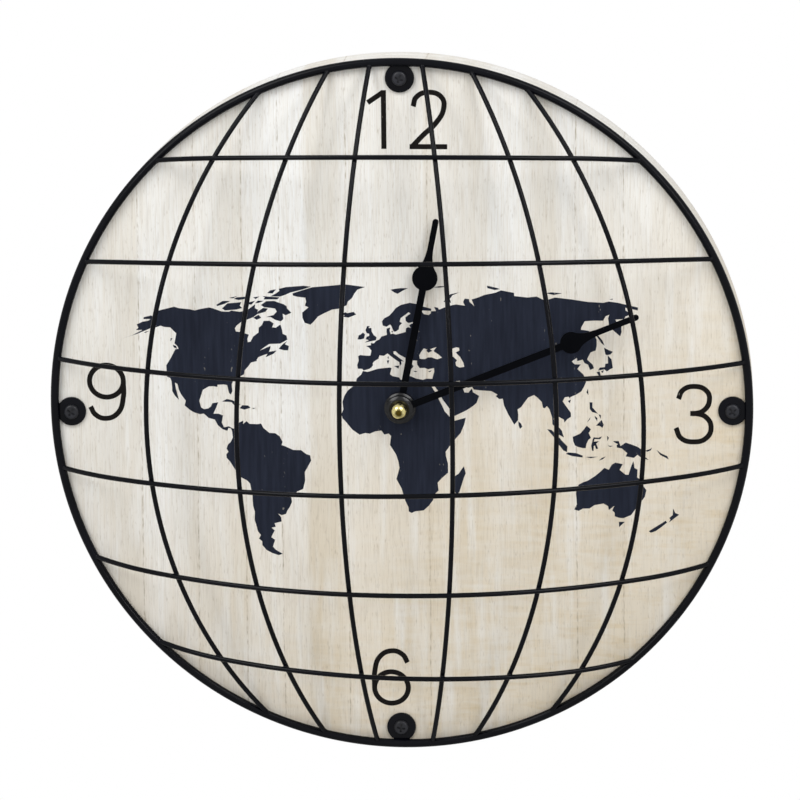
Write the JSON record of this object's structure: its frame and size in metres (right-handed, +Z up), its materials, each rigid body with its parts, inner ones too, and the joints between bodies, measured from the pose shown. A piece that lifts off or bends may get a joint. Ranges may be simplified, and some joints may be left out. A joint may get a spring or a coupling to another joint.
{
  "type": "globe wall clock",
  "caption": "Round wall clock with a pale wooden dial, printed world map and numerals, spade hands, and a bulging black wire globe fixed over the face.",
  "frame": {"origin": "on the hands' axis, in the wall plane that the rear hoop rests against", "axes": "+Z up towards twelve o'clock, +X to the right seen from the front, +Y into the wall, so the dial faces -Y"},
  "size_m": [0.4, 0.0981, 0.4],
  "materials": {
    "pale_wood": "whitewashed, matt",
    "black_steel": "black powder coat, satin",
    "black_aluminium": "black paint, satin",
    "brass": "polished",
    "bright_steel": "plated",
    "rubber": "matt",
    "black_plastic": "fine moulded texture",
    "white_plastic": "moulded",
    "copper_wire": "enamelled winding",
    "circuit": "solder mask",
    "magnet": "sintered",
    "cell_jacket": "plain film jacket"
  },
  "bodies": {
    "case": {"dial_board": "pale_wood", "rear_hoop": "pale_wood", "rim_ring": "black_steel", "meridian_wire_1": "black_steel", "meridian_wire_2": "black_steel", "meridian_wire_3": "black_steel", "meridian_wire_4": "black_steel", "meridian_wire_5": "black_steel", "meridian_wire_6": "black_steel", "parallel_wire_1": "black_steel", "parallel_wire_2": "black_steel", "parallel_wire_3": "black_steel", "parallel_wire_4": "black_steel", "parallel_wire_5": "black_steel", "parallel_wire_6": "black_steel", "lug_top": "black_steel", "lug_right": "black_steel", "lug_bottom": "black_steel", "lug_left": "black_steel", "lug_screw_top": "black_steel", "lug_screw_right": "black_steel", "lug_screw_bottom": "black_steel", "lug_screw_left": "black_steel", "bush_nut": "brass", "bush_washer": "bright_steel", "gasket": "rubber", "movement_case": "black_plastic", "movement_cover": "black_plastic", "stator": "bright_steel", "coil_core": "bright_steel", "coil": "copper_wire", "circuit_board": "circuit", "quartz_crystal": "bright_steel", "battery": "cell_jacket", "contact_negative": "bright_steel", "contact_positive": "bright_steel", "hanger": "bright_steel", "hanger_screw_1": "bright_steel", "hanger_screw_2": "bright_steel"},
    "minute_work": {"minute_hand": "black_aluminium", "cap_nut": "brass", "minute_arbor": "brass"},
    "hour_work": {"hour_hand": "black_aluminium", "hour_wheel": "white_plastic"},
    "motion_work": {"motion_wheel": "white_plastic"},
    "setting_work": {"setting_knob": "black_plastic"},
    "rotor_work": {"rotor": "magnet"},
    "intermediate_work": {"intermediate_wheel": "white_plastic"},
    "seconds_work": {"seconds_wheel": "white_plastic"},
    "third_work": {"third_wheel": "white_plastic"},
    "centre_work": {"centre_wheel": "white_plastic"}
  },
  "joints": [
    {"name": "minute_turn", "type": "hinge", "parent": "case", "child": "minute_work", "pos_m": [0, -0.035, 0], "axis": [0, 1, 0], "continuous": true},
    {"name": "hour_turn", "type": "hinge", "parent": "case", "child": "hour_work", "pos_m": [0, -0.031, 0], "axis": [0, 1, 0], "continuous": true},
    {"name": "motion_turn", "type": "hinge", "parent": "case", "child": "motion_work", "pos_m": [-0.008, -0.015, 0], "axis": [0, 1, 0], "continuous": true},
    {"name": "setting_turn", "type": "hinge", "parent": "case", "child": "setting_work", "pos_m": [-0.01413, -0.003, -0.00514], "axis": [0, 1, 0], "continuous": true},
    {"name": "rotor_turn", "type": "hinge", "parent": "case", "child": "rotor_work", "pos_m": [0.0132, -0.012, 0.00786], "axis": [0, 1, 0], "continuous": true},
    {"name": "intermediate_turn", "type": "hinge", "parent": "case", "child": "intermediate_work", "pos_m": [0.00643, -0.007, 0.0054], "axis": [0, 1, 0], "continuous": true},
    {"name": "seconds_turn", "type": "hinge", "parent": "case", "child": "seconds_work", "pos_m": [0, -0.008, 0], "axis": [0, 1, 0], "continuous": true},
    {"name": "third_turn", "type": "hinge", "parent": "case", "child": "third_work", "pos_m": [-0.00694, -0.01, 0.00827], "axis": [0, 1, 0], "continuous": true},
    {"name": "centre_turn", "type": "hinge", "parent": "case", "child": "centre_work", "pos_m": [0, -0.0115, 0], "axis": [0, 1, 0], "continuous": true}
  ],
  "couplings": [
    {"joint": "hour_turn", "follows": "minute_turn", "ratio": 0.083333},
    {"joint": "motion_turn", "follows": "minute_turn", "ratio": -0.33333},
    {"joint": "setting_turn", "follows": "minute_turn", "ratio": 1},
    {"joint": "intermediate_turn", "follows": "rotor_turn", "ratio": -0.2},
    {"joint": "seconds_turn", "follows": "rotor_turn", "ratio": 0.033333},
    {"joint": "third_turn", "follows": "rotor_turn", "ratio": -0.0044444},
    {"joint": "centre_turn", "follows": "rotor_turn", "ratio": 0.00055556}
  ]
}
